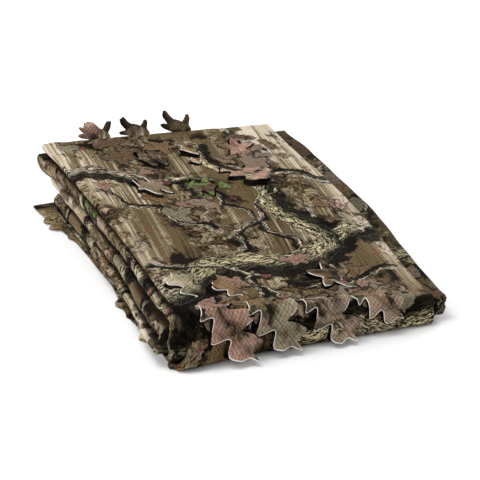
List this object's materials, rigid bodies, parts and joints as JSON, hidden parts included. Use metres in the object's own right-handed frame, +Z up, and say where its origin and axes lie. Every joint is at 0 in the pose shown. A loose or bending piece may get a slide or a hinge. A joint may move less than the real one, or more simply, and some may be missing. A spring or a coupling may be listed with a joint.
{
  "type": "folded camouflage blind cloth",
  "caption": "Camouflage cloth sheet with die-cut leaf tongues, folded back and forth into a flat rectangular pack that lies on a surface.",
  "frame": {"origin": "on the ground under the middle of the folded pack's box", "axes": "+Z up, +Y towards the edge where the leaf ends stand up, -Y towards the front turn of the half fold, +X to the right seen from the front"},
  "size_m": [0.2655, 0.3998, 0.0743],
  "materials": {
    "printed_cloth": "matt woven cloth with a woodland print and pale cut edges"
  },
  "bodies": {
    "root": {"camo_cloth": "printed_cloth"}
  },
  "joints": []
}
